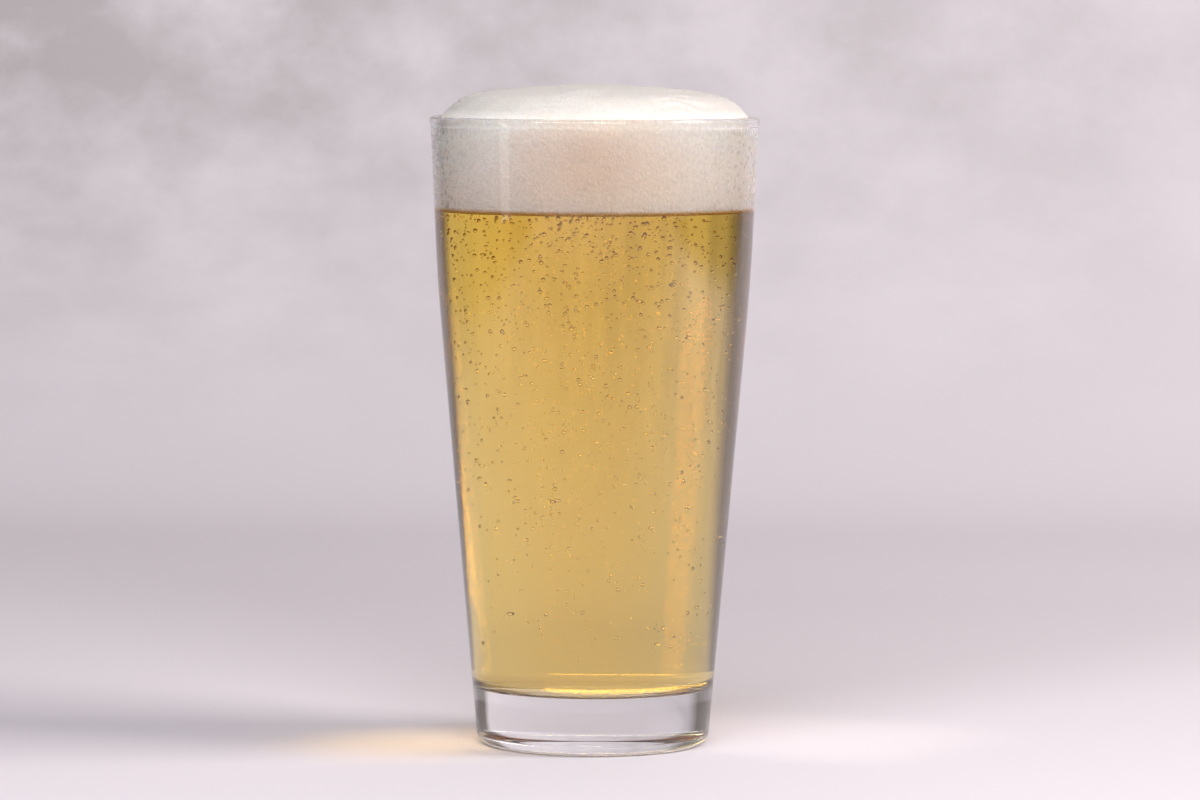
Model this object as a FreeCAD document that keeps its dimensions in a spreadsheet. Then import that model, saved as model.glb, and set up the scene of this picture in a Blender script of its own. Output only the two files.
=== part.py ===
"""A pint of beer: a straight-sided pint glass, the beer in it and the head of foam.

The frame is +Z up with the origin on the axis, at the face the glass stands on.
Every piece is turned about that axis, so each one starts as an outline in the
vertical plane through it: x is the distance from the axis and z is the height.
Lengths are in millimetres and tapers in degrees.
"""
import FreeCAD, Part

import math
import os

import Sketcher

DRIVING_SIZES = [
    ("glassHeight", 162.0, "foot to rim"),
    ("rimRadius", 42.4, "outside of the lip"),
    ("beadStep", 0.15, "how far the lip's bead stands out from the wall"),
    ("beadHeight", 2.8, "rim down to where the bead starts"),
    ("beadRamp", 1.0, "height over which the bead grows"),
    ("mouthTaper", 2.54, "slope of the wall above the bend"),
    ("bodyTaper", 5.04, "slope of the wall below the bend"),
    ("mouthDepth", 42.1, "rim down to the bend between the two tapers"),
    ("bendRadius", 540.0, "radius of the curve that joins the two tapers"),
    ("heelRadius", 3.4, "rounding where the wall meets the foot"),
    ("lipWall", 1.85, "wall thickness at the rim"),
    ("bendWall", 2.05, "wall thickness at the bend"),
    ("footWall", 2.9, "wall thickness at the floor of the cup"),
    ("lipRound", 0.9, "rounding of the lip's two edges"),
    ("floorThickness", 15.0, "solid glass under the cup"),
    ("cornerRadius", 3.0, "rounding between the cup's floor and its wall"),
    ("ringWidth", 3.7, "flat ring it stands on, between the heel and the hollow under the foot"),
    ("puntRise", 2.4, "height of that hollow on the axis"),
    ("headDepth", 24.2, "rim down to where foam meets beer"),
    ("domeRise", 8.1, "top of the foam above the rim"),
    ("crownRadius", 200.0, "radius of the foam's flat crown"),
    ("domeEdgeRadius", 15.0, "radius where the foam turns down to the glass"),
]

document = FreeCAD.newDocument("PintOfBeer")


def make_sheet(rows):
    """One cell for each driving size, its name as the alias and a note beside it."""
    sheet = document.addObject("Spreadsheet::Sheet", "Sizes")
    for row, (name, value, note) in enumerate(rows, start=1):
        sheet.set(f"A{row}", name)
        sheet.set(f"B{row}", str(value))
        sheet.set(f"C{row}", note)
        sheet.setAlias(f"B{row}", name)
    document.recompute()
    return sheet


sheet = make_sheet(DRIVING_SIZES)


def number(expression):
    """What an expression in the sheet's sizes comes to."""
    value = sheet.evalExpression(expression)
    return float(getattr(value, "Value", value))


# Places worked out from the driving sizes, as expressions that the outlines are bound to.
RIM = "Sizes.glassHeight"
FLOOR = "Sizes.floorThickness"
BEND = "(Sizes.glassHeight - Sizes.mouthDepth)"
BEER_LEVEL = "(Sizes.glassHeight - Sizes.headDepth)"
WALL_AT_RIM = "(Sizes.rimRadius - Sizes.beadStep)"
WALL_AT_BEND = f"({WALL_AT_RIM} - Sizes.mouthDepth * tan(Sizes.mouthTaper * 1 deg))"
WALL_AT_FOOT = f"({WALL_AT_BEND} - {BEND} * tan(Sizes.bodyTaper * 1 deg))"
WALL_AT_FLOOR = f"({WALL_AT_FOOT} + {FLOOR} * tan(Sizes.bodyTaper * 1 deg))"
BEAD_FOOT = "(Sizes.glassHeight - Sizes.beadHeight)"
BEAD_FOOT_RADIUS = f"({WALL_AT_RIM} - Sizes.beadHeight * tan(Sizes.mouthTaper * 1 deg))"
BEAD_TOP = f"({BEAD_FOOT} + Sizes.beadRamp)"
CUP_AT_RIM = f"({WALL_AT_RIM} - Sizes.lipWall)"
CUP_AT_BEND = f"({WALL_AT_BEND} - Sizes.bendWall)"
CUP_AT_FLOOR = f"({WALL_AT_FLOOR} - Sizes.footWall)"
LIP_ROUND = "min(Sizes.lipRound; 0.45 * (Sizes.lipWall + Sizes.beadStep))"
FOAM_EDGE = f"(Sizes.glassHeight - {LIP_ROUND})"
DOME_TOP = "(Sizes.glassHeight + Sizes.domeRise)"
PUNT_EDGE = f"({WALL_AT_FOOT} - Sizes.heelRadius - Sizes.ringWidth)"

ORIGIN = (-1, 1)
AXIS = -2
START, END, CENTRE = 1, 2, 3


def point(x, z):
    return FreeCAD.Vector(x, z, 0)


class Outline:
    """A sketch in the body's XZ plane whose points and radii are bound to the sheet."""

    def __init__(self, body, name):
        self.sketch = body.newObject("Sketcher::SketchObject", name)
        plane = next(item for item in body.Origin.OriginFeatures if item.Role == "XZ_Plane")
        self.sketch.AttachmentSupport = [(plane, "")]
        self.sketch.MapMode = "FlatFace"

    def line(self, start, end, guide=False):
        return self.sketch.addGeometry(Part.LineSegment(point(*start), point(*end)), guide)

    def arc(self, centre, radius, start_angle, end_angle):
        circle = Part.Circle(point(*centre), FreeCAD.Vector(0, 0, 1), radius)
        return self.sketch.addGeometry(Part.ArcOfCircle(circle, start_angle, end_angle), False)

    def bind(self, expression, *constraint):
        """Add a constraint that has a size, and drive that size by the expression."""
        added = self.sketch.addConstraint(Sketcher.Constraint(*constraint, number(expression)))
        self.sketch.setExpression(f"Constraints[{added}]", expression)

    def radius(self, item, expression):
        self.bind(expression, "Radius", item)

    def height(self, item, end, expression):
        self.bind(expression, "DistanceY", *ORIGIN, item, end)

    def place(self, item, end, x, z):
        self.bind(x, "DistanceX", *ORIGIN, item, end)
        self.height(item, end, z)

    def on(self, item, end, curve):
        self.sketch.addConstraint(Sketcher.Constraint("PointOnObject", item, end, curve))

    def join(self, first, first_end, second, second_end, smooth=False):
        kind = "Tangent" if smooth else "Coincident"
        joint = Sketcher.Constraint(kind, first, first_end, second, second_end)
        self.sketch.addConstraint(joint)

    def wall(self, low, bend, high):
        """Two straight tapers joined by the bend's curve.

        low, bend and high are (x, z) pairs of expressions: the foot of the lower
        taper, where the two tapers would meet, and the end of the upper one. The curve
        touches both tapers. Returns the lower line, the upper line and the upper guide.
        """
        (x0, z0), (x1, z1), (x2, z2) = [tuple(map(number, pair)) for pair in (low, bend, high)]
        lean_low = math.atan2(x1 - x0, z1 - z0)
        lean_high = math.atan2(x2 - x1, z2 - z1)
        radius = number("Sizes.bendRadius")
        reach = radius * math.tan((lean_low - lean_high) / 2)
        leave = (x1 - reach * math.sin(lean_low), z1 - reach * math.cos(lean_low))
        rejoin = (x1 + reach * math.sin(lean_high), z1 + reach * math.cos(lean_high))
        centre = (leave[0] - radius * math.cos(lean_low), leave[1] + radius * math.sin(lean_low))
        low_guide = self.line((x0, z0), (x1, z1), guide=True)
        high_guide = self.line((x1, z1), (x2, z2), guide=True)
        self.place(low_guide, START, *low)
        self.place(low_guide, END, *bend)
        self.join(low_guide, END, high_guide, START)
        self.place(high_guide, END, *high)
        lower = self.line((x0, z0), leave)
        curve = self.arc(centre, radius, -lean_low, -lean_high)
        upper = self.line(rejoin, (x2, z2))
        self.join(low_guide, START, lower, START)
        self.on(lower, END, low_guide)
        self.on(upper, START, high_guide)
        self.join(lower, END, curve, START, smooth=True)
        self.join(curve, END, upper, START, smooth=True)
        self.radius(curve, "Sizes.bendRadius")
        return lower, upper, high_guide

    def turn(self, body, kind, name):
        """Turn the closed outline about the glass's axis, to add or to take away."""
        feature = body.newObject(kind, name)
        feature.Profile = self.sketch
        feature.ReferenceAxis = (self.sketch, ["V_Axis"])
        feature.Angle = 360
        self.sketch.Visibility = False
        document.recompute()
        return feature


def make_body(label):
    body = document.addObject("PartDesign::Body", label)
    body.Label = label
    return body


def round_ring(body, base, name, radius, rings):
    """Round the circular edges of base named by (radius, height) pairs of expressions."""
    wanted = [(number(ring_radius), number(height)) for ring_radius, height in rings]
    names = []
    for index, edge in enumerate(base.Shape.Edges, start=1):
        if edge.Degenerated or not isinstance(edge.Curve, Part.Circle):
            continue
        found = (edge.Curve.Radius, edge.Curve.Center.z)
        if any(math.dist(found, ring) < 1e-4 for ring in wanted):
            names.append(f"Edge{index}")
    if len(names) != len(wanted):
        raise RuntimeError(f"{name}: {len(names)} of {len(wanted)} edges found")
    fillet = body.newObject("PartDesign::Fillet", name)
    fillet.Base = (base, names)
    fillet.setExpression("Radius", radius)
    document.recompute()
    return fillet


def cup_wall(outline, high=(CUP_AT_RIM, RIM)):
    """The inside of the glass, which the beer and the foam share as their outside."""
    return outline.wall((CUP_AT_FLOOR, FLOOR), (CUP_AT_BEND, BEND), high)


def cup_outline(body, name):
    """The whole inside of the glass from its floor to the rim, before its corner is rounded."""
    outline = Outline(body, name)
    floor, rim = number(FLOOR), number(RIM)
    lower, upper, guide = cup_wall(outline)
    outline.join(upper, END, guide, END)
    top = outline.line((number(CUP_AT_RIM), rim), (0, rim))
    axis = outline.line((0, rim), (0, floor))
    base = outline.line((0, floor), (number(CUP_AT_FLOOR), floor))
    outline.join(upper, END, top, START)
    outline.join(top, END, axis, START)
    outline.join(axis, END, base, START)
    outline.join(base, END, lower, START)
    outline.on(axis, START, AXIS)
    outline.on(axis, END, AXIS)
    outline.height(axis, START, RIM)
    outline.height(axis, END, FLOOR)
    return outline


def slab_outline(body, name, low, high):
    """A rectangle from the axis out past the glass, between two heights."""
    outline = Outline(body, name)
    reach, z0, z1 = number("Sizes.rimRadius"), number(low), number(high)
    base = outline.line((0, z0), (reach, z0))
    side = outline.line((reach, z0), (reach, z1))
    top = outline.line((reach, z1), (0, z1))
    axis = outline.line((0, z1), (0, z0))
    for item, following in ((base, side), (side, top), (top, axis), (axis, base)):
        outline.join(item, END, following, START)
    outline.on(base, START, AXIS)
    outline.on(axis, START, AXIS)
    outline.place(side, START, "Sizes.rimRadius", low)
    outline.place(side, END, "Sizes.rimRadius", high)
    outline.height(base, START, low)
    outline.height(axis, START, high)
    return outline


def make_glass():
    """The glass: a thick foot with a shallow hollow under it, a wall that thins upwards
    and leans out less above the bend, and a rounded lip with a slight bead outside."""
    body = make_body("glass")

    outside = Outline(body, "GlassOutside")
    wall_foot, wall_rim = number(WALL_AT_FOOT), number("Sizes.rimRadius")
    rim, bead_foot, bead_top = number(RIM), number(BEAD_FOOT), number(BEAD_TOP)
    bead_foot_radius = number(BEAD_FOOT_RADIUS)
    punt_radius, punt_rise = number(PUNT_EDGE), number("Sizes.puntRise")
    lower, upper, guide = outside.wall(
        (WALL_AT_FOOT, "0"), (WALL_AT_BEND, BEND), (BEAD_FOOT_RADIUS, BEAD_FOOT))
    outside.join(upper, END, guide, END)
    ramp = outside.line((bead_foot_radius, bead_foot), (wall_rim, bead_top))
    bead = outside.line((wall_rim, bead_top), (wall_rim, rim))
    top = outside.line((wall_rim, rim), (0, rim))
    axis = outside.line((0, rim), (0, punt_rise))
    punt_curve = (punt_radius ** 2 + punt_rise ** 2) / (2 * punt_rise)
    half_angle = math.asin(punt_radius / punt_curve)
    punt = outside.arc((0, punt_rise - punt_curve), punt_curve,
                       math.pi / 2 - half_angle, math.pi / 2)
    ring = outside.line((punt_radius, 0), (wall_foot, 0))
    outside.join(upper, END, ramp, START)
    outside.join(ramp, END, bead, START)
    outside.join(bead, END, top, START)
    outside.join(top, END, axis, START)
    outside.join(axis, END, punt, END)
    outside.join(punt, START, ring, START)
    outside.join(ring, END, lower, START)
    outside.place(ramp, END, "Sizes.rimRadius", BEAD_TOP)
    outside.place(bead, END, "Sizes.rimRadius", RIM)
    outside.on(axis, START, AXIS)
    outside.height(axis, START, RIM)
    outside.on(axis, END, AXIS)
    outside.height(axis, END, "Sizes.puntRise")
    outside.on(punt, CENTRE, AXIS)
    outside.bind(PUNT_EDGE, "DistanceX", *ORIGIN, ring, START)
    outside.on(ring, START, -1)
    outside.turn(body, "PartDesign::Revolution", "GlassBlank")

    cup = cup_outline(body, "CupOutline").turn(body, "PartDesign::Groove", "Cup")
    corner = round_ring(body, cup, "CupCorner", "Sizes.cornerRadius", [(CUP_AT_FLOOR, FLOOR)])
    lip = round_ring(body, corner, "Lip", LIP_ROUND,
                     [("Sizes.rimRadius", RIM), (CUP_AT_RIM, RIM)])
    round_ring(body, lip, "Heel", "Sizes.heelRadius", [(WALL_AT_FOOT, "0")])
    return body


def make_beer():
    """The beer: it fills the cup from its floor to the level where the foam starts."""
    body = make_body("beer")
    full = cup_outline(body, "BeerOutline").turn(body, "PartDesign::Revolution", "BeerToRim")
    corner = round_ring(body, full, "BeerCorner", "Sizes.cornerRadius", [(CUP_AT_FLOOR, FLOOR)])
    above = slab_outline(body, "AboveBeer", BEER_LEVEL, DOME_TOP)
    above.turn(body, "PartDesign::Groove", "BeerLevel")
    return body


def make_foam():
    """The head: it fills the cup from the beer up to the lip and domes over the rim.

    The dome is a nearly flat crown centred on the axis and a tighter curve that touches
    the crown and comes down to the glass where the lip's rounding starts.
    """
    body = make_body("foam_head")
    outline = Outline(body, "FoamOutline")
    floor, edge_height, dome_top = number(FLOOR), number(FOAM_EDGE), number(DOME_TOP)
    crown_radius, turn_radius = number("Sizes.crownRadius"), number("Sizes.domeEdgeRadius")
    lean = math.atan2(number(CUP_AT_RIM) - number(CUP_AT_BEND), number(RIM) - number(BEND))
    edge = (number(CUP_AT_RIM) - (number(RIM) - edge_height) * math.tan(lean), edge_height)

    # The turn's centre lies turn_radius from the edge, and short of the crown's radius by as much.
    crown_centre = (0, dome_top - crown_radius)
    reach = math.dist(crown_centre, edge)
    inner = crown_radius - turn_radius
    along = (inner ** 2 - turn_radius ** 2 + reach ** 2) / (2 * reach)
    aside = math.sqrt(inner ** 2 - along ** 2)
    out_x, out_z = edge[0] / reach, (edge[1] - crown_centre[1]) / reach
    turn_centre = (along * out_x - aside * out_z,
                   crown_centre[1] + along * out_z + aside * out_x)
    meet_angle = math.atan2(turn_centre[1] - crown_centre[1], turn_centre[0])
    edge_angle = math.atan2(edge[1] - turn_centre[1], edge[0] - turn_centre[0])

    lower, upper, guide = cup_wall(outline)
    turn = outline.arc(turn_centre, turn_radius, edge_angle, meet_angle)
    crown = outline.arc(crown_centre, crown_radius, meet_angle, math.pi / 2)
    axis = outline.line((0, dome_top), (0, floor))
    base = outline.line((0, floor), (number(CUP_AT_FLOOR), floor))
    outline.on(upper, END, guide)
    outline.height(upper, END, FOAM_EDGE)
    outline.join(upper, END, turn, START)
    outline.join(turn, END, crown, START, smooth=True)
    outline.join(crown, END, axis, START)
    outline.join(axis, END, base, START)
    outline.join(base, END, lower, START)
    outline.on(crown, CENTRE, AXIS)
    outline.on(axis, START, AXIS)
    outline.on(axis, END, AXIS)
    outline.height(axis, START, DOME_TOP)
    outline.height(axis, END, FLOOR)
    outline.radius(turn, "Sizes.domeEdgeRadius")
    outline.radius(crown, "Sizes.crownRadius")
    outline.turn(body, "PartDesign::Revolution", "FoamToFloor")
    below = slab_outline(body, "BelowFoam", "0", BEER_LEVEL)
    below.turn(body, "PartDesign::Groove", "FoamBase")
    return body


def check(bodies):
    """Stop before anything is written if a feature failed or a piece isn't one sound solid."""
    document.recompute()
    failed = [item.Name for item in document.Objects
              if "Invalid" in item.State or "Error" in item.State]
    if failed:
        raise RuntimeError(f"failed: {failed}")
    for body in bodies:
        shape = body.Shape
        if shape.isNull() or not shape.isValid() or len(shape.Solids) != 1:
            raise RuntimeError(f"{body.Label} isn't one sound solid")


def write(bodies):
    os.makedirs("parts", exist_ok=True)
    for body in bodies:
        body.Shape.exportStep(f"parts/{body.Label}.step")
        print(f"{body.Label}: {body.Shape.Volume / 1000:.2f} cubic centimetres")


pieces = [make_glass(), make_beer(), make_foam()]
check(pieces)
write(pieces)
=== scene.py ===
"""A pint of beer: a clear pint glass, pale gold beer with bubbles in it, and a head of foam.

Lengths are in metres; MM turns millimetres into metres. The glass, the beer and the foam
are turned about the Z axis, so each one starts as an outline of (distance from the axis,
height) pairs.
"""

import math

import bmesh
import bpy
import numpy as np
from mathutils import Matrix, Vector


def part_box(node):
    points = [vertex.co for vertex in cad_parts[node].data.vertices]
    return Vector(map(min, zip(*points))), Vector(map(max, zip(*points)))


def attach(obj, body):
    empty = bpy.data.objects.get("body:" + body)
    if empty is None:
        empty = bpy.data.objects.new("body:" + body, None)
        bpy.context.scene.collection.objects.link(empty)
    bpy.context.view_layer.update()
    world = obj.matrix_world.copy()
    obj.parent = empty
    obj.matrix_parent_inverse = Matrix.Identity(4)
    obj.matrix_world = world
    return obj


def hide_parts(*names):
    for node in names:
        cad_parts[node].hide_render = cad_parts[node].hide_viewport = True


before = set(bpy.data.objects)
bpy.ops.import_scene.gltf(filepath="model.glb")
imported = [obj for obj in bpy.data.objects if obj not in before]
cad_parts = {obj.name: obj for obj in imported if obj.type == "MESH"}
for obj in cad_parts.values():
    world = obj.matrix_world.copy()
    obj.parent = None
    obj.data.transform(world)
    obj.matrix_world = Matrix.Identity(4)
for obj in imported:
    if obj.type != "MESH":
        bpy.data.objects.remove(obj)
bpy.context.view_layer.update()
glass_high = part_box("glass")[1]
beer_low, beer_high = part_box("beer")
foam_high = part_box("foam_head")[1]

MM = 0.001
TURNS = 288
FOAM_TURNS = 512

# Heights and a radius read from the frame.
RIM = glass_high.z
LIP_RADIUS = glass_high.x
FLOOR = beer_low.z
BEER_LEVEL = beer_high.z
DOME_TOP = foam_high.z

# The glass: two tapers that meet at the bend, a faint bead round the lip, a hollow foot.
BEND = RIM - 42.1 * MM
BEND_ROUND = 540 * MM
MOUTH_SLOPE = math.tan(math.radians(2.54))
BODY_SLOPE = math.tan(math.radians(5.04))
BEAD_STEP, BEAD_HEIGHT, BEAD_RAMP, BEAD_ROUND = 0.15 * MM, 2.8 * MM, 1.0 * MM, 1.5 * MM
LIP_WALL, BEND_WALL, FOOT_WALL = 1.85 * MM, 2.05 * MM, 2.9 * MM
LIP_ROUND, HEEL_ROUND, CORNER_ROUND = 0.9 * MM, 3.4 * MM, 3.0 * MM
RING_WIDTH, PUNT_RISE, PUNT_EDGE_ROUND = 3.7 * MM, 2.4 * MM, 2 * MM

# The foam: a shallow crown, and a tighter shoulder that comes down inside the lip.
CROWN_RADIUS = 200 * MM
DOME_EDGE_ROUND = 15 * MM
LIP_GAP = 0.4 * MM
LEAVES_WALL = 1.3 * MM

# How far the beer and the foam reach into their neighbours, so that no air is between them.
INTO_WALL = 0.15 * MM
INTO_FOAM = 0.6 * MM

GLASS_IOR = 1.52
BEER_IOR = 1.34

# A Mix node's colour inputs and output, which share their names with its other types'.
MIX_A, MIX_B, MIX_RESULT = 6, 7, 2


# ---------------------------------------------------------------- outlines and surfaces

def rounded(corners, step, turn_step=math.radians(7)):
    """The line through the corners, with each corner replaced by an arc that touches both sides.

    A corner is (r, z, radius). Its arc leaves each side radius * tan(turn / 2) short of the
    corner, where turn is the angle between the two sides' directions. No two points in a
    row lie more than step apart, and an arc has a point at least every turn_step.
    """
    spots = np.array([corner[:2] for corner in corners], float)
    path = [spots[:1]]
    for before, spot, after, corner in zip(spots, spots[1:], spots[2:], corners[1:]):
        into, out = spot - before, after - spot
        into, out = into / np.hypot(*into), out / np.hypot(*out)
        turn = math.atan2(into[0] * out[1] - into[1] * out[0], into @ out)
        radius = corner[2]
        leave = spot - into * radius * math.tan(abs(turn) / 2)
        side = math.copysign(1, turn)
        centre = leave + side * radius * np.array([-into[1], into[0]])
        count = max(2, math.ceil(abs(turn) / turn_step), math.ceil(radius * abs(turn) / step))
        angles = np.linspace(0, turn, count + 1)
        arm = leave - centre
        arc = centre + np.stack([arm[0] * np.cos(angles) - arm[1] * np.sin(angles),
                                 arm[0] * np.sin(angles) + arm[1] * np.cos(angles)], axis=1)
        path.append(arc)
    path.append(spots[-1:])
    points = np.concatenate(path)
    runs = [points[:1]]
    for start, end in zip(points, points[1:]):
        count = max(1, math.ceil(np.hypot(*(end - start)) / step))
        runs.append(start + (end - start) * np.linspace(0, 1, count + 1)[1:, None])
    return np.concatenate(runs)


def arc_points(centre, radius, start, end, count):
    """count points of the circle about centre, from the angle start to the angle end."""
    angles = np.linspace(start, end, count)[:, None]
    return centre + radius * np.concatenate([np.cos(angles), np.sin(angles)], axis=1)


def make_piece(name, places, faces):
    """A smooth-shaded mesh object at the origin from a list of places and a list of faces."""
    mesh = bpy.data.meshes.new(name)
    mesh.from_pydata(places, [], faces)
    mesh.polygons.foreach_set("use_smooth", np.full(len(mesh.polygons), True))
    mesh.update()
    piece = bpy.data.objects.new(name, mesh)
    bpy.context.scene.collection.objects.link(piece)
    return piece


def turned_places(outline, turns):
    """Rings of places (r cos a, r sin a, z), one ring for each outline point off the axis."""
    angle = np.linspace(0, 2 * math.pi, turns, endpoint=False)
    r, z = outline[:, :1], outline[:, 1:]
    heights = np.broadcast_to(z, (len(outline), turns))
    return np.stack([r * np.cos(angle), r * np.sin(angle), heights], axis=2)


def turned_faces(rings, turns):
    """Quads between neighbouring rings, and a fan to the pole at each end, facing outwards."""
    ring, step = np.meshgrid(np.arange(rings - 1), np.arange(turns), indexing="ij")
    after = (step + 1) % turns
    quads = np.stack([ring * turns + step, ring * turns + after,
                      (ring + 1) * turns + after, (ring + 1) * turns + step], axis=2)
    steps = np.arange(turns)
    first_pole, last_pole = rings * turns, rings * turns + 1
    last = (rings - 1) * turns
    first_fan = np.stack([np.full(turns, first_pole), (steps + 1) % turns, steps], axis=1)
    last_fan = np.stack([np.full(turns, last_pole), last + steps, last + (steps + 1) % turns],
                        axis=1)
    return quads.reshape(-1, 4).tolist() + first_fan.tolist() + last_fan.tolist()


def turned(name, outline, relief=None, turns=TURNS):
    """A closed surface of revolution whose outline starts and ends on the axis.

    relief takes the rings' places and their outward directions and gives each place's
    offset along its direction; the poles take the mean offset of the ring beside them.
    """
    rings = turned_places(outline[1:-1], turns)
    poles = np.array([[0, 0, outline[0, 1]], [0, 0, outline[-1, 1]]])
    if relief is not None:
        along = np.gradient(outline, axis=0)[1:-1]
        along /= np.hypot(along[:, 0], along[:, 1])[:, None]
        angle = np.linspace(0, 2 * math.pi, turns, endpoint=False)
        outward = np.stack([along[:, 1:] * np.cos(angle), along[:, 1:] * np.sin(angle),
                            np.broadcast_to(-along[:, :1], rings.shape[:2])], axis=2)
        offset = relief(rings, outward)
        rings = rings + outward * offset[:, :, None]
        poles[0, 2] -= offset[0].mean()
        poles[1, 2] += offset[-1].mean()
    places = np.concatenate([rings.reshape(-1, 3), poles])
    return make_piece(name, places.tolist(), turned_faces(len(rings), turns))


# ---------------------------------------------------------------- random fields

def waves(places, wavelength, count, random):
    """A smooth random field between about -1 and 1: the scaled sum of count cosines
    cos(k . p + phase), whose wave vectors k point every way and have lengths near
    2 pi / wavelength."""
    direction = random.normal(size=(count, 3))
    direction /= np.linalg.norm(direction, axis=1)[:, None]
    length = 2 * math.pi / wavelength * random.uniform(0.7, 1.4, count)
    phase = random.uniform(0, 2 * math.pi, count)
    flat = places.reshape(-1, 3)
    total = np.zeros(len(flat))
    for way, size, start in zip(direction, length, phase):
        total += np.cos(flat @ (way * size) + start)
    return (total / math.sqrt(count)).reshape(places.shape[:-1])


def cell_distance(places, spacing, random):
    """Distance to the nearest of many scattered seeds, in units of spacing.

    Space is cut into cubes of side spacing with one seed in each; the seed's place in its
    cube comes from a shuffled table, looked up by mixing the cube's whole-number
    coordinates with three large primes.
    """
    table = random.random((4096, 3))
    flat = places.reshape(-1, 3) / spacing
    home = np.floor(flat).astype(np.int64)
    nearest = np.full(len(flat), 9.0)
    neighbours = np.stack(np.meshgrid(*[[-1, 0, 1]] * 3, indexing="ij"), axis=-1).reshape(-1, 3)
    for shift in neighbours:
        cube = home + shift
        mixed = cube[:, 0] * 73856093 ^ cube[:, 1] * 19349663 ^ cube[:, 2] * 83492791
        gap = cube + table[mixed % len(table)] - flat
        nearest = np.minimum(nearest, np.einsum("ij,ij->i", gap, gap))
    return np.sqrt(nearest).reshape(places.shape[:-1])


# ---------------------------------------------------------------- materials

def colour(hex_code):
    """The linear colour of an sRGB hex code."""
    parts = [int(hex_code[i:i + 2], 16) / 255 for i in (1, 3, 5)]
    return (*[p / 12.92 if p <= 0.04045 else ((p + 0.055) / 1.055) ** 2.4 for p in parts], 1.0)


def add(tree, kind, settings=None, feeds=None, **links):
    """A node of the kind. settings gives its inputs, by name or number, and its other values.
    feeds, by number, and links, by name, give the sockets that its inputs are linked to."""
    node = tree.nodes.new(kind)
    for key, value in (settings or {}).items():
        if isinstance(key, int) or key in node.inputs:
            node.inputs[key].default_value = value
        else:
            setattr(node, key, value)
    for key, socket in (feeds or {}).items():
        tree.links.new(socket, node.inputs[key])
    for key, socket in links.items():
        tree.links.new(socket, node.inputs[key.replace("_", " ")])
    return node


def new_material(name):
    """An empty node material and its tree."""
    material = bpy.data.materials.new(name)
    material.use_nodes = True
    material.node_tree.nodes.clear()
    return material, material.node_tree


def polished_soda_glass():
    """Soda-lime glass, pressed and fire polished: colourless and mirror smooth, so it shows
    only by what it bends and reflects."""
    material, tree = new_material("polished_soda_glass")
    shader = add(tree, "ShaderNodeBsdfPrincipled", {
        "Base Color": colour("#FFFFFF"), "Roughness": 0.0, "IOR": GLASS_IOR,
        "Transmission Weight": 1.0})
    add(tree, "ShaderNodeOutputMaterial", Surface=shader.outputs["BSDF"])
    return material


def pale_lager():
    """Filtered lager: clear as water, and gold because it absorbs blue along the light's way,
    so it is palest where the glass is narrow."""
    material, tree = new_material("pale_lager")
    shader = add(tree, "ShaderNodeBsdfPrincipled", {
        "Base Color": colour("#FFFFFF"), "Roughness": 0.0, "IOR": BEER_IOR,
        "Transmission Weight": 1.0})
    gold = add(tree, "ShaderNodeVolumeAbsorption", {
        "Color": colour("#FFEA00"), "Density": 34.0})
    add(tree, "ShaderNodeOutputMaterial", Surface=shader.outputs["BSDF"],
        Volume=gold.outputs["Volume"])
    return material


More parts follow.
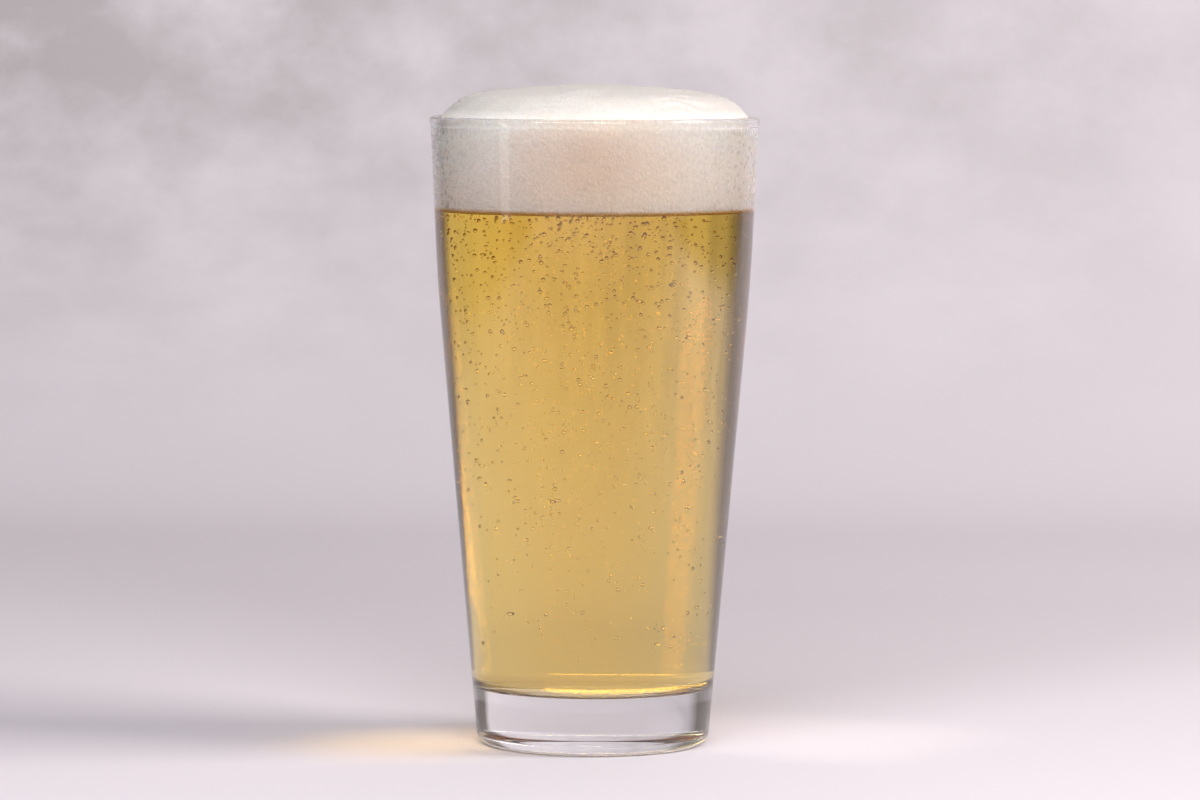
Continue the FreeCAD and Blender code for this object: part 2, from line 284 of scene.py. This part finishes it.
def beer_foam():
    """Wet foam: countless tiny bubbles scatter the light, so it is soft, cream-white and matt,
    with a fine pebbling where the larger bubbles lie against the glass."""
    material, tree = new_material("beer_foam")
    place = add(tree, "ShaderNodeTexCoord").outputs["Object"]
    height = add(tree, "ShaderNodeSeparateXYZ", Vector=place).outputs["Z"]

    # It is creamier near the beer and whiter towards the rim, where it has drained.
    dryness = add(tree, "ShaderNodeMapRange", {
        "From Min": BEER_LEVEL, "From Max": RIM - 3 * MM}, Value=height)
    drained = add(tree, "ShaderNodeMix", {
        "data_type": "RGBA", MIX_A: colour("#FCECE0"), MIX_B: colour("#FFFAF7")},
        Factor=dryness.outputs["Result"])

    # Painted shade: one patch at the front of the foam is painted a darker beige, for the shade
    # there.
    from_front_shade = add(tree, "ShaderNodeVectorMath", {
        "operation": "DISTANCE", 1: (0.0, -0.041, 0.149)}, {0: place})
    front_shade = add(tree, "ShaderNodeMapRange", {
        "From Min": 28 * MM, "From Max": 4 * MM, "To Min": 0.0, "To Max": 0.6},
        Value=from_front_shade.outputs["Value"])
    front_shaded = add(tree, "ShaderNodeMix", {"data_type": "RGBA", MIX_B: colour("#DFC5A8")},
                 {MIX_A: drained.outputs[MIX_RESULT]}, Factor=front_shade.outputs["Result"])

    # The dome above the rim is painted a greyer white: painted shade that holds back the stronger
    # light falling on its top.
    crown = add(tree, "ShaderNodeMapRange", {
        "From Min": RIM - 1 * MM, "From Max": RIM + 2 * MM}, Value=height)
    shaded_dome = add(tree, "ShaderNodeMix", {"data_type": "RGBA", MIX_B: colour("#D6D3D1")},
                 {MIX_A: front_shaded.outputs[MIX_RESULT]}, Factor=crown.outputs["Result"])

    # Real cells are 0.1 to 0.5 mm wide; they are drawn 0.75 mm wide so that they show.
    cells = add(tree, "ShaderNodeTexVoronoi", {"Scale": 1 / (0.75 * MM)}, Vector=place)
    edge = add(tree, "ShaderNodeMapRange", {
        "From Min": 0.25, "From Max": 0.9, "To Min": 0.0, "To Max": 0.16},
        Value=cells.outputs["Distance"])
    tint = add(tree, "ShaderNodeMix", {"data_type": "RGBA", MIX_B: colour("#A9835F")},
               {MIX_A: shaded_dome.outputs[MIX_RESULT]}, Factor=edge.outputs["Result"])

    # A thin line along the foot is soaked in beer.
    soaked = add(tree, "ShaderNodeMapRange", {
        "From Min": BEER_LEVEL + 1.4 * MM, "From Max": BEER_LEVEL + 0.5 * MM}, Value=height)
    line = add(tree, "ShaderNodeMix", {"data_type": "RGBA", MIX_B: colour("#C48A36")},
               {MIX_A: tint.outputs[MIX_RESULT]}, Factor=soaked.outputs["Result"])

    # The pebbling is strong against the glass and faint on the dome.
    relief = add(tree, "ShaderNodeMapRange", {
        "From Min": RIM - 1 * MM, "From Max": RIM + 1 * MM, "To Min": 1.0, "To Max": 0.3},
        Value=height)
    pebbles = add(tree, "ShaderNodeBump", {"Distance": 0.5 * MM},
                  Height=cells.outputs["Distance"], Strength=relief.outputs["Result"])
    shader = add(tree, "ShaderNodeBsdfPrincipled", {
        "Roughness": 0.55, "IOR": BEER_IOR, "Subsurface Weight": 0.7,
        "Subsurface Scale": 12 * MM, "Subsurface Radius": (1.0, 0.85, 0.7)},
        Base_Color=line.outputs[MIX_RESULT], Normal=pebbles.outputs["Normal"])
    add(tree, "ShaderNodeOutputMaterial", Surface=shader.outputs["BSDF"])
    return material


def gas_bubble():
    """Carbon dioxide in beer: the light goes from beer into gas, so the IOR is below 1, and
    each bubble shows a dark ring round a bright middle."""
    material, tree = new_material("gas_bubble")
    shader = add(tree, "ShaderNodeBsdfPrincipled", {
        "Base Color": colour("#FFFFFF"), "Roughness": 0.0, "IOR": 1.0 / BEER_IOR,
        "Transmission Weight": 1.0})
    add(tree, "ShaderNodeOutputMaterial", Surface=shader.outputs["BSDF"])
    return material


# ---------------------------------------------------------------- the glass

WALL_AT_RIM = LIP_RADIUS - BEAD_STEP
WALL_AT_BEND = WALL_AT_RIM - (RIM - BEND) * MOUTH_SLOPE
WALL_AT_FOOT = WALL_AT_BEND - BEND * BODY_SLOPE
CUP_AT_RIM = WALL_AT_RIM - LIP_WALL
CUP_AT_BEND = WALL_AT_BEND - BEND_WALL
CUP_AT_FLOOR = WALL_AT_FOOT + FLOOR * BODY_SLOPE - FOOT_WALL
CUP_MOUTH_SLOPE = (CUP_AT_RIM - CUP_AT_BEND) / (RIM - BEND)
CUP_BODY_SLOPE = (CUP_AT_BEND - CUP_AT_FLOOR) / (BEND - FLOOR)


def cup_radius(z):
    """The inside of the glass at height z, without its rounded corner: the narrower of the
    two tapers where they meet."""
    low = CUP_AT_FLOOR + (z - FLOOR) * CUP_BODY_SLOPE
    high = CUP_AT_BEND + (z - BEND) * CUP_MOUTH_SLOPE
    return np.minimum(low, high)


def make_glass():
    """The glass, out under the foot, up the outside, over the lip and down the inside.

    The hollow under the foot is an arc through its rise on the axis and the ring's edge."""
    hollow = WALL_AT_FOOT - HEEL_ROUND - RING_WIDTH
    hollow_curve = (hollow ** 2 + PUNT_RISE ** 2) / (2 * PUNT_RISE)
    r = np.linspace(0, hollow, 24)[:-1]
    underside = np.stack([r, PUNT_RISE - hollow_curve + np.sqrt(hollow_curve ** 2 - r ** 2)],
                         axis=1)
    bead_foot = RIM - BEAD_HEIGHT
    wall = rounded([
        (*underside[-1], 0), (hollow, 0, PUNT_EDGE_ROUND), (WALL_AT_FOOT, 0, HEEL_ROUND),
        (WALL_AT_BEND, BEND, BEND_ROUND),
        (WALL_AT_RIM - BEAD_HEIGHT * MOUTH_SLOPE, bead_foot, BEAD_ROUND),
        (LIP_RADIUS, bead_foot + BEAD_RAMP, BEAD_ROUND),
        (LIP_RADIUS, RIM, LIP_ROUND), (CUP_AT_RIM, RIM, LIP_ROUND),
        (CUP_AT_BEND, BEND, BEND_ROUND), (CUP_AT_FLOOR, FLOOR, CORNER_ROUND),
        (0, FLOOR, 0)], step=3 * MM, turn_step=math.radians(3))
    return turned("pint_glass", np.concatenate([underside[:-1], wall]))


# ---------------------------------------------------------------- the beer

def make_beer():
    """The beer, out along the floor, up the wall and back in under the foam. It reaches a
    little into the wall and the foam, so that no air shows between them."""
    top = BEER_LEVEL + INTO_FOAM
    top_edge = CUP_AT_BEND + (top - BEND) * CUP_MOUTH_SLOPE + INTO_WALL
    outline = rounded([
        (0, FLOOR - INTO_WALL, 0),
        (CUP_AT_FLOOR + INTO_WALL, FLOOR - INTO_WALL, CORNER_ROUND),
        (CUP_AT_BEND + INTO_WALL, BEND, BEND_ROUND),
        (top_edge, top, 0.3 * MM), (0, top, 0)], step=2 * MM)
    return turned("beer_body", outline)


# ---------------------------------------------------------------- the foam

def dome_outline(edge):
    """From the edge inside the lip up the shoulder and over the crown to the axis.

    The crown is a circle of CROWN_RADIUS centred on the axis. The shoulder's circle, of
    DOME_EDGE_ROUND, passes through the edge and touches the crown's from inside, so its
    centre lies DOME_EDGE_ROUND from the edge and inner from the crown's centre."""
    crown = np.array([0, DOME_TOP - CROWN_RADIUS])
    inner = CROWN_RADIUS - DOME_EDGE_ROUND
    reach = np.hypot(*(edge - crown))
    along = (inner ** 2 - DOME_EDGE_ROUND ** 2 + reach ** 2) / (2 * reach)
    aside = math.sqrt(inner ** 2 - along ** 2)
    out = (edge - crown) / reach
    turn = crown + along * out + aside * np.array([-out[1], out[0]])
    meet = math.atan2(turn[1] - crown[1], turn[0])
    start = math.atan2(edge[1] - turn[1], edge[0] - turn[0])
    shoulder = arc_points(turn, DOME_EDGE_ROUND, start, meet, 30)
    top = arc_points(crown, CROWN_RADIUS, meet, math.pi / 2, 60)
    top[-1, 0] = 0
    return np.concatenate([shoulder[1:], top[1:]])


def make_foam():
    """The head: out along the beer, up the wall, then over the rim in a dome."""
    edge = np.array([cup_radius(RIM - LIP_ROUND) - LIP_GAP, RIM - LIP_ROUND])
    leave = edge[1] - LEAVES_WALL
    foot = (cup_radius(BEER_LEVEL) + INTO_WALL, BEER_LEVEL)
    base = np.linspace((0, BEER_LEVEL), (foot[0] - 1 * MM, BEER_LEVEL), 8)
    side = rounded([
        (*base[-1], 0), (*foot, 0.5 * MM),
        (foot[0] + (leave - BEER_LEVEL) * CUP_MOUTH_SLOPE, leave, 0.4 * MM),
        (edge[0], leave + 0.5 * MM, 0.4 * MM), (*edge, 0)], step=0.45 * MM)
    outline = np.concatenate([base[:-1], side, dome_outline(edge)])
    random = np.random.default_rng(7)

    def relief(rings, outward):
        """Cells, swells and creases on the dome: a crease is sin(2 pi s / wavelength), where s
        is the distance from the axis, bent by a slow wave. On the side, round pits that
        leave a gap behind the glass, and upright ripples sin(n a) in a band under the rim."""
        cell_size, cell_depth, swell, swell_depth = 1.3 * MM, 0.05 * MM, 9 * MM, 0.12 * MM
        crease, crease_depth, bending, fading = 3.2 * MM, 0.2 * MM, 24 * MM, 16 * MM
        pit_spacing, pit_size, pit_depth = 1.7 * MM, 0.36, 0.45 * MM
        ripples_round, ripple_depth, band_height = 170, 0.5 * MM, 1.5 * MM
        z = rings[:, :, 2]
        angle = np.arctan2(rings[:, :, 1], rings[:, :, 0])

        cells = 1 - cell_distance(rings, cell_size, random)
        swells = waves(rings, swell, 24, random)
        dome = np.clip((z - RIM) / (2 * MM), 0, 1)
        bent = np.hypot(rings[:, :, 0], rings[:, :, 1]) + 5 * MM * waves(rings, bending, 10, random)
        creases = (np.sin(2 * math.pi * bent / crease)
                   * np.clip(waves(rings, fading, 10, random), 0, 1))

        upright = np.clip((np.hypot(outward[:, :, 0], outward[:, :, 1]) - 0.8) / 0.15, 0, 1)
        on_side = upright * (z < leave) * (z > BEER_LEVEL + 0.8 * MM)
        pits = np.clip(1.3 - cell_distance(rings, pit_spacing, random) / pit_size, 0, 1)
        band = np.clip(1 - np.abs(z - leave + 1.2 * MM) / band_height, 0, 1)
        wander = 2.5 * waves(rings, 6 * MM, 12, random)
        ripples = 0.5 + 0.5 * np.sin(ripples_round * angle + wander)

        on_dome = cell_depth * (cells - 0.5) + swell_depth * swells + crease_depth * creases
        return dome * on_dome - on_side * (pit_depth * pits + ripple_depth * band * ripples)

    return turned("foam_dome", outline, relief, FOAM_TURNS)


# ---------------------------------------------------------------- bubbles

def bubbles(name, count, middle, wall_share, random):
    """Gas bubbles, each a ball of 80 faces scaled by its radius and moved to its place. Radii
    are lognormal about middle. Most are high in the beer and on the near side of the glass,
    and wall_share of them almost touch the wall."""
    smallest, largest, spread = 0.12 * MM, 0.55 * MM, 0.4
    clear_of_floor, clear_of_foam, clear_of_wall = 4 * MM, 0.3 * MM, 0.1 * MM
    moved_to_front = 0.7
    ball = bmesh.new()
    bmesh.ops.create_icosphere(ball, subdivisions=2, radius=1.0)
    unit = np.array([v.co for v in ball.verts])
    faces = np.array([[v.index for v in f.verts] for f in ball.faces])
    ball.free()
    depth = (BEER_LEVEL - FLOOR - clear_of_floor) * random.beta(0.75, 1.7, count)
    size = np.clip(middle * np.exp(random.normal(0, spread, count)), smallest, largest)
    z = BEER_LEVEL - clear_of_foam - size - depth
    room = cup_radius(z) - size - clear_of_wall
    r = np.where(random.random(count) < wall_share, room,
                 0.9 * room * np.sqrt(random.random(count)))
    angle = random.uniform(0, 2 * math.pi, count)
    to_front = (np.sin(angle) > 0) & (random.random(count) < moved_to_front)
    angle = np.where(to_front, -angle, angle)
    centres = np.stack([r * np.cos(angle), r * np.sin(angle), z], axis=1)
    places = centres[:, None, :] + size[:, None, None] * unit[None]
    all_faces = faces[None] + (np.arange(count) * len(unit))[:, None, None]
    return make_piece(name, places.reshape(-1, 3).tolist(), all_faces.reshape(-1, 3).tolist())


def make_rising_bubbles():
    """Small bubbles all through the beer."""
    return bubbles("rising_bubbles", 1150, 0.22 * MM, 0.0, np.random.default_rng(11))


def make_clinging_bubbles():
    """Larger bubbles, most of them held by the wall until they are big enough to rise."""
    return bubbles("clinging_bubbles", 760, 0.29 * MM, 0.8, np.random.default_rng(12))


# ---------------------------------------------------------------- the set

def mottled_shaded_paper():
    """Pale lilac backdrop paper: matt, with soft grey clouds on its upright part, drawn stronger to
    the left as painted shade away from the key; an even painted shade darkens the whole upright
    part, and painted shade darkens it where it runs out of the studio's light."""
    material, tree = new_material("mottled_shaded_paper")
    place = add(tree, "ShaderNodeTexCoord").outputs["Object"]
    axes = add(tree, "ShaderNodeSeparateXYZ", Vector=place)

    # Grey clouds about 0.1 m wide: a little everywhere on the upright part, most on the left, where
    # they are painted shade away from the key; an even painted shade darkens the whole upright part
    # besides.
    clouds = add(tree, "ShaderNodeTexNoise", {
        "Scale": 11.0, "Detail": 6.0, "Roughness": 0.6}, Vector=place)
    patchy = add(tree, "ShaderNodeMapRange", {"From Min": 0.62, "From Max": 0.4},
                 Value=clouds.outputs["Fac"])
    shade_to_left = add(tree, "ShaderNodeMapRange", {
        "From Min": -0.3, "From Max": 0.25, "To Min": 1.0, "To Max": 0.35},
        Value=axes.outputs["X"])
    clouds_shaded_left = add(tree, "ShaderNodeMath", {"operation": "MULTIPLY"},
                  {0: patchy.outputs["Result"], 1: shade_to_left.outputs["Result"]})
    clouds_and_wall_shade = add(tree, "ShaderNodeMath", {"operation": "MULTIPLY_ADD", 1: 0.66, 2: 0.22},
               {0: clouds_shaded_left.outputs["Value"]})
    upward = add(tree, "ShaderNodeMapRange", {"From Min": 0.01, "From Max": 0.16},
                 Value=axes.outputs["Z"])
    wall_clouds_and_shade = add(tree, "ShaderNodeMath", {"operation": "MULTIPLY"},
                  {0: clouds_and_wall_shade.outputs["Value"], 1: upward.outputs["Result"]})
    # The clouds and the painted shade darken the upright part's lilac.
    mottled_and_shaded = add(tree, "ShaderNodeMix", {
        "data_type": "RGBA", MIX_A: colour("#E5E0E9"), MIX_B: colour("#B0ABAE")},
        Factor=wall_clouds_and_shade.outputs["Value"])

    # Painted shade: darker towards the viewer and at both ends, where the paper runs out of the
    # studio's light; the glass's edges and foot mirror it.
    near = add(tree, "ShaderNodeMapRange", {
        "From Min": -0.14, "From Max": -0.55, "To Max": 0.7}, Value=axes.outputs["Y"])
    left_end = add(tree, "ShaderNodeMapRange", {"From Min": -0.5, "From Max": -0.8},
                   Value=axes.outputs["X"])
    right_end = add(tree, "ShaderNodeMapRange", {"From Min": 0.75, "From Max": 1.0},
                    Value=axes.outputs["X"])
    ends = add(tree, "ShaderNodeMath", {"operation": "MAXIMUM"},
               {0: left_end.outputs["Result"], 1: right_end.outputs["Result"]})
    unlit = add(tree, "ShaderNodeMath", {"operation": "MAXIMUM"},
                {0: near.outputs["Result"], 1: ends.outputs["Value"]})
    shaded_paper = add(tree, "ShaderNodeMix", {"data_type": "RGBA", MIX_B: colour("#6F675F")},
                {MIX_A: mottled_and_shaded.outputs[MIX_RESULT]}, Factor=unlit.outputs["Value"])
    shader = add(tree, "ShaderNodeBsdfPrincipled", {
        "Roughness": 0.9, "Specular IOR Level": 0.1}, Base_Color=shaded_paper.outputs[MIX_RESULT])
    add(tree, "ShaderNodeOutputMaterial", Surface=shader.outputs["BSDF"])
    return material


def make_sweep():
    """A paper sweep: a level floor that curves up behind the glass into a backdrop. Its
    outline in (y, z) is a line, a quarter circle and a line, carried along x."""
    half_width, front, back, bend, height = 2.2, -1.6, 0.55, 0.45, 2.0
    angles = np.linspace(0, math.pi / 2, 24)
    run = np.concatenate([
        np.stack([np.linspace(front, back, 40), np.zeros(40)], axis=1),
        np.stack([back + bend * np.sin(angles), bend - bend * np.cos(angles)], axis=1)[1:],
        np.stack([np.full(20, back + bend), np.linspace(bend, height, 20)], axis=1)[1:]])
    x = np.linspace(-half_width, half_width, 9)
    grid = (len(run), len(x))
    places = np.stack([np.broadcast_to(x, grid), np.broadcast_to(run[:, :1], grid),
                       np.broadcast_to(run[:, 1:], grid)], axis=2)
    row, column = np.meshgrid(np.arange(len(run) - 1), np.arange(len(x) - 1), indexing="ij")
    corner = row * len(x) + column
    faces = np.stack([corner, corner + 1, corner + 1 + len(x), corner + len(x)], axis=2)
    sweep = make_piece("paper_sweep", places.reshape(-1, 3).tolist(),
                       faces.reshape(-1, 4).tolist())
    sweep.data.materials.append(mottled_shaded_paper())
    return sweep


def make_light(name, place, aim, width, height, watts, tint, spread):
    """A rectangular area light at place that faces aim."""
    data = bpy.data.lights.new(name, "AREA")
    data.shape = "RECTANGLE"
    data.size, data.size_y = width, height
    data.energy = watts
    data.spread = spread
    data.color = colour(tint)[:3]
    light = bpy.data.objects.new(name, data)
    light.location = place
    light.rotation_euler = (Vector(aim) - Vector(place)).to_track_quat("-Z", "Y").to_euler()
    bpy.context.scene.collection.objects.link(light)
    return light


def make_camera():
    """A long lens a little above the rim, looking slightly down, and leaning by a hair."""
    data = bpy.data.cameras.new("camera")
    data.sensor_width = 36.0
    data.lens = 162.9
    camera = bpy.data.objects.new("camera", data)
    place = Vector((0, -1.3966, 0.1923))
    down, aside, lean = math.radians(4.234), math.radians(0.0665), math.radians(0.18)
    look = Vector((math.sin(aside) * math.cos(down), math.cos(aside) * math.cos(down),
                   -math.sin(down)))
    level = look.to_track_quat("-Z", "Y").to_matrix()
    leaning = level @ Matrix.Rotation(lean, 3, "Z")
    camera.matrix_world = Matrix.Translation(place) @ leaning.to_4x4()
    bpy.context.scene.collection.objects.link(camera)
    bpy.context.scene.camera = camera
    return camera


def light_the_set(camera):
    """The set turns with the camera about the glass, as if the glass stood on a turntable.

    The key comes from the right, and the front fill from so high that the beer's back wall
    doesn't mirror it. The strip draws the upright streak on the foam. The two glows stand
    for the light that the drink focuses on the floor at each side of the foot."""
    scene = bpy.context.scene
    world = bpy.data.worlds.new("studio")
    scene.world = world
    world.use_nodes = True
    dim_warm_room = (0.05, 0.042, 0.036, 1)
    background = world.node_tree.nodes["Background"]
    background.inputs["Color"].default_value = dim_warm_room
    background.inputs["Strength"].default_value = 1.0
    turntable = bpy.data.objects.new("turntable", None)
    scene.collection.objects.link(turntable)
    track = turntable.constraints.new("LOCKED_TRACK")
    track.target = camera
    track.track_axis = "TRACK_NEGATIVE_Y"
    track.lock_axis = "LOCK_Z"
    wide, narrow, narrowest = math.pi, math.radians(8), math.radians(5)
    middle, foam, level_with_strip = (0, 0, 0.08), (0, 0, 0.15), (0, 0, 0.275)
    lights = (
        ("key", (1.1, -0.25, 0.75), middle, 0.6, 0.6, 15, "#FFF6EE", wide),
        ("front_fill", (-0.25, -1.45, 0.77), foam, 2.0, 0.28, 36.5, "#FFFFFF", wide),
        ("strip", (-0.91, -0.42, 0.275), level_with_strip, 0.13, 0.5, 0.28, "#FFFFFF", wide),
        ("pale_glow", (0.3, -0.12, 0.36), (0.05, 0.012, 0), 0.07, 0.07, 0.003, "#FFEEDC",
         narrowest),
        ("gold_glow", (-0.3, -0.12, 0.36), (-0.044, -0.004, 0), 0.03, 0.03, 0.0034, "#FFCF73",
         narrow))
    for piece in [make_sweep()] + [make_light(*light) for light in lights]:
        piece.parent = turntable


# ---------------------------------------------------------------- putting it together

scene = bpy.context.scene
scene.view_settings.view_transform = "Standard"
scene.cycles.max_bounces = 24
scene.cycles.transmission_bounces = 24
scene.cycles.glossy_bounces = 8
scene.cycles.diffuse_bounces = 6
scene.cycles.transparent_max_bounces = 16

camera = make_camera()
light_the_set(camera)

gas = gas_bubble()
for make, material, nodes, slot in (
        (make_glass, polished_soda_glass(), ["glass"], "glass"),
        (make_beer, pale_lager(), ["beer"], "beer"),
        (make_foam, beer_foam(), ["foam_head"], "foam"),
        (make_rising_bubbles, gas, [], "beer"),
        (make_clinging_bubbles, gas, [], "beer")):
    piece = make()
    piece.data.materials.append(material)
    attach(piece, "root")
    if nodes:
        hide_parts(*nodes)
